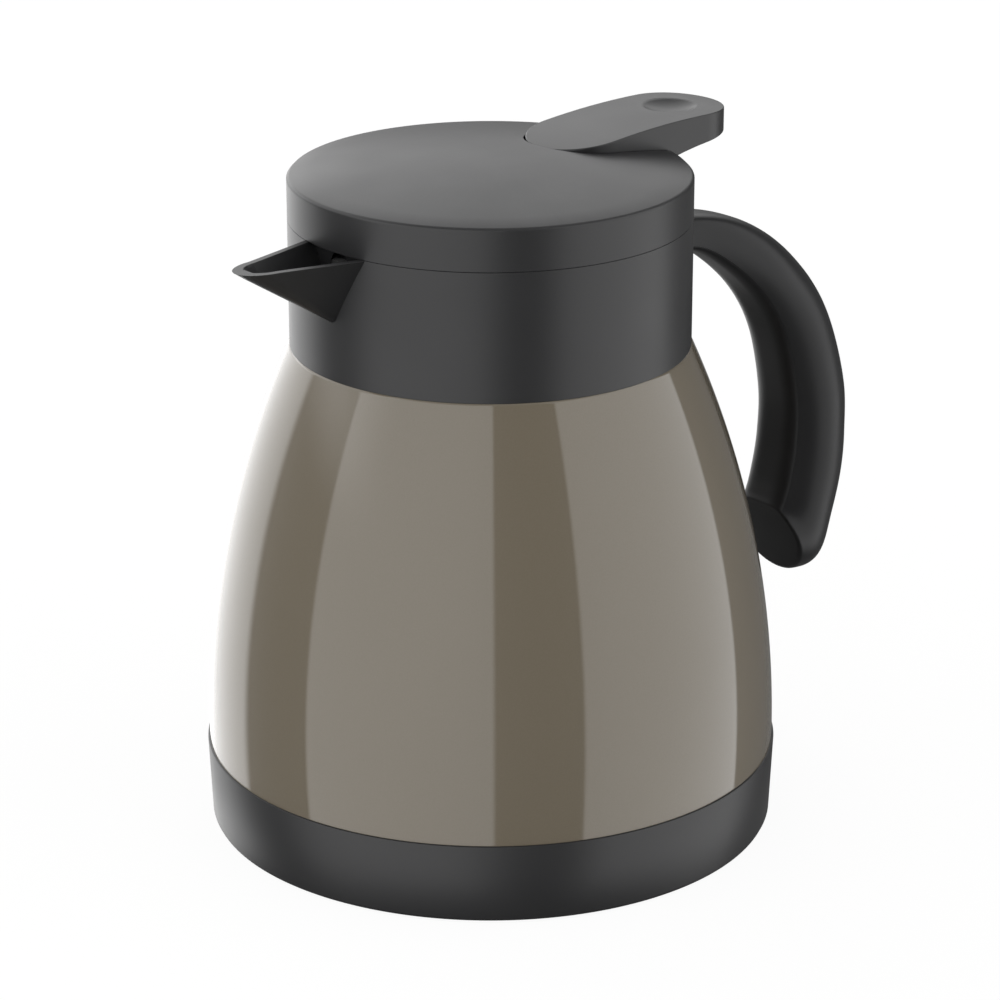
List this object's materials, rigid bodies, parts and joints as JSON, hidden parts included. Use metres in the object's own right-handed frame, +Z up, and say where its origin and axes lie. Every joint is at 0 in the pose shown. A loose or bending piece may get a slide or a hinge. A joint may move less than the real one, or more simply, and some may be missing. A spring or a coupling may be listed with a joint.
{
  "type": "thermal carafe",
  "caption": "Vacuum carafe with a domed steel body, black collar with triangular spout and hanging handle, and a screw-in lid whose thumb lever opens a spring-loaded valve.",
  "frame": {"origin": "centre of the foot pad's underside, on the jug's upright axis and on the table", "axes": "+Z up along the jug's axis, +X towards the handle and the lever's tip, -X towards the spout, +Y to the left of someone who looks along +X"},
  "size_m": [0.193, 0.14, 0.1685],
  "materials": {
    "lacquer": "glossy taupe lacquer over drawn steel, slightly metallic",
    "steel": "plain stainless steel of the inner flask and the hidden bottom",
    "screw_steel": "bright stainless steel of screws, pin, stem and spring",
    "black_plastic": "fine satin black moulded plastic",
    "stopper_plastic": "smooth dark moulded plastic of the stopper and the valve",
    "silicone": "translucent off-white silicone rubber",
    "rubber": "dark matt rubber of the foot and of the seal under the lid"
  },
  "bodies": {
    "jug": {"outer_shell": "lacquer", "inner_flask": "steel", "outer_bottom": "steel", "vacuum_seal": "steel", "getter": "steel", "base_cup": "black_plastic", "foot_pad": "rubber", "neck_gasket": "silicone", "collar": "black_plastic", "handle_shell": "black_plastic", "handle_cover": "black_plastic", "handle_screws": "screw_steel"},
    "neck_seal": {"stopper_seal": "silicone"},
    "lid": {"lid_cap": "black_plastic", "lid_seal": "rubber", "stopper": "stopper_plastic", "stopper_screws": "screw_steel", "stem_seal": "silicone", "valve_spring": "screw_steel", "lever_pin": "screw_steel"},
    "lever": {"lever": "black_plastic"},
    "valve": {"valve_stem": "screw_steel", "stem_cap": "stopper_plastic", "valve_plug": "stopper_plastic", "valve_seal": "silicone"}
  },
  "joints": [
    {"name": "lid_rise", "type": "slide", "parent": "jug", "child": "neck_seal", "axis": [0, 0, 1], "range_m": [0, 0.0481]},
    {"name": "lid_turn", "type": "hinge", "parent": "neck_seal", "child": "lid", "pos_m": [0, 0, 0.1516], "axis": [0, 0, 1], "range_deg": [0, 720]},
    {"name": "lever_press", "type": "hinge", "parent": "lid", "child": "lever", "pos_m": [0.024, 0, 0.16], "axis": [0, 1, 0], "range_deg": [0, 7], "stiffness_Nm_per_rad": 1.2, "springref_deg": -6.02},
    {"name": "valve_lift", "type": "slide", "parent": "lid", "child": "valve", "axis": [0, 0, 1], "range_m": [0, 0.00295], "deforming": ["valve_spring"]}
  ],
  "couplings": [
    {"joint": "lid_rise", "follows": "lid_turn", "m_per_rad": 0.0038197},
    {"joint": "valve_lift", "follows": "lever_press", "m_per_rad": 0.024}
  ]
}
